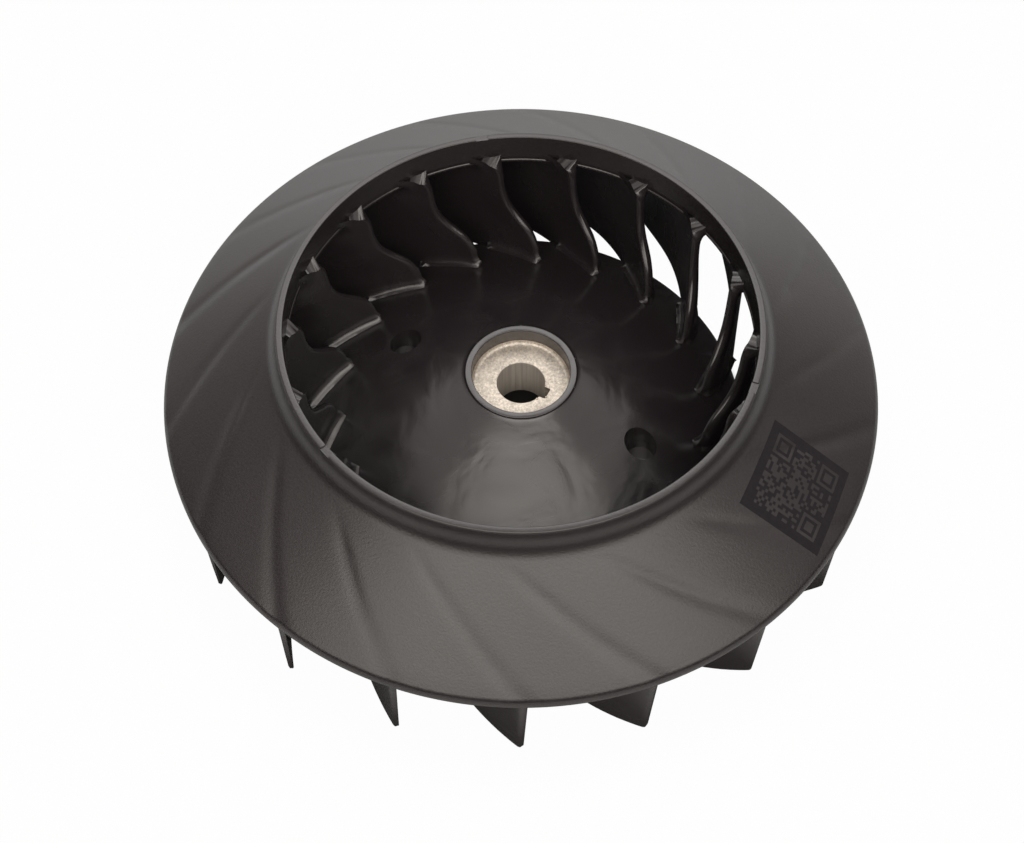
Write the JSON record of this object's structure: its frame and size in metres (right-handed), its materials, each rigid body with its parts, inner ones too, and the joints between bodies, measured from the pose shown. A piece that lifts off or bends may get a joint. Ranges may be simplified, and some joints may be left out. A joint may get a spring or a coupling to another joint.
{
  "type": "radial fan wheel",
  "caption": "Closed radial fan wheel with a conical shroud, an inlet collar, a ring of curved blades, a conical hub plate and a keyed metal bush.",
  "frame": {"origin": "centre of the plane of the blade tips, on the wheel's axis", "axes": "+Z along the wheel's axis towards the inlet collar; one blade tip lies 0.7 degrees counterclockwise of -Y, and the keyway is 27 degrees clockwise of +X seen from the inlet"},
  "size_m": [0.325, 0.325, 0.0973],
  "materials": {
    "plastic": "satin, glass-filled",
    "metal": "blasted face, bored hole"
  },
  "bodies": {
    "root": {"fan_wheel": "plastic", "hub_bush": "metal"}
  },
  "joints": []
}
